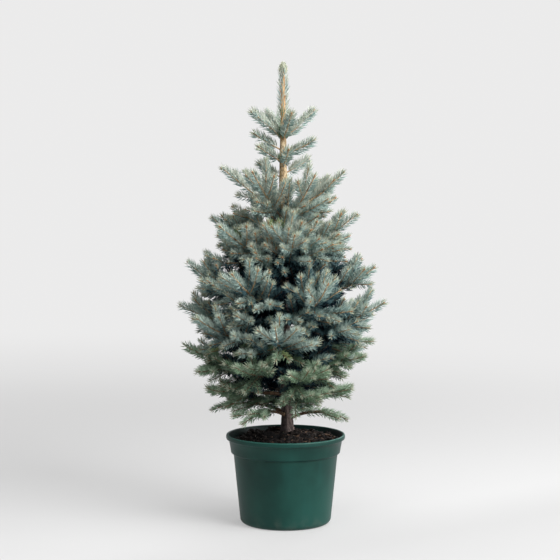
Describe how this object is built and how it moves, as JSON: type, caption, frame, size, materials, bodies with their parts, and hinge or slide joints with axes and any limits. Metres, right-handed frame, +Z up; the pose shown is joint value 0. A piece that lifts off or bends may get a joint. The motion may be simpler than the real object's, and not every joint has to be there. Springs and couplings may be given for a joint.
{
  "type": "potted blue spruce tree",
  "caption": "Young blue-needled spruce, narrow and cone-shaped, on one straight trunk in a round dark green nursery pot filled with soil; it stands on the pot's flat underside.",
  "frame": {"origin": "middle of the flat underside of the pot, where the plant rests on the ground", "axes": "+Z up the trunk; +X to the right of someone in front of the plant, as in the picture; -Y towards them"},
  "size_m": [0.5066, 0.4943, 1.1235],
  "materials": {
    "pot_plastic": "dark green moulded plastic with a soft sheen",
    "soil": "moist dark potting compost with chips of bark",
    "bark": "rough grey-brown bark, dull",
    "needles": "waxy silver-blue to blue-green needles"
  },
  "bodies": {
    "root": {"pot": "pot_plastic", "soil": "soil", "trunk": "bark", "leader_needles": "needles", "top_foliage_1": "needles", "top_foliage_2": "needles", "top_foliage_3": "needles", "top_foliage_4": "needles", "neck_foliage_1": "needles", "neck_foliage_2": "needles", "neck_foliage_3": "needles", "neck_foliage_4": "needles", "neck_foliage_5": "needles", "neck_foliage_6": "needles", "upper_foliage_1": "needles", "upper_foliage_2": "needles", "upper_foliage_3": "needles", "upper_foliage_4": "needles", "upper_foliage_5": "needles", "shoulder_foliage_1": "needles", "shoulder_foliage_2": "needles", "shoulder_foliage_3": "needles", "shoulder_foliage_4": "needles", "shoulder_foliage_5": "needles", "middle_foliage_1": "needles", "middle_foliage_2": "needles", "middle_foliage_3": "needles", "middle_foliage_4": "needles", "middle_foliage_5": "needles", "broad_foliage_1": "needles", "broad_foliage_2": "needles", "broad_foliage_3": "needles", "broad_foliage_4": "needles", "broad_foliage_5": "needles", "lower_bough_1": "bark", "lower_bough_2": "bark", "lower_bough_3": "bark", "lower_bough_4": "bark", "lower_bough_5": "bark", "lower_foliage_1": "needles", "lower_foliage_2": "needles", "lower_foliage_3": "needles", "lower_foliage_4": "needles", "lower_foliage_5": "needles", "skirt_bough_1": "bark", "skirt_bough_2": "bark", "skirt_bough_3": "bark", "skirt_bough_4": "bark", "skirt_foliage_1": "needles", "skirt_foliage_2": "needles", "skirt_foliage_3": "needles", "skirt_foliage_4": "needles", "hem_bough_1": "bark", "hem_bough_2": "bark", "hem_bough_3": "bark", "hem_bough_4": "bark", "hem_foliage_1": "needles", "hem_foliage_2": "needles", "hem_foliage_3": "needles", "hem_foliage_4": "needles"}
  },
  "joints": []
}
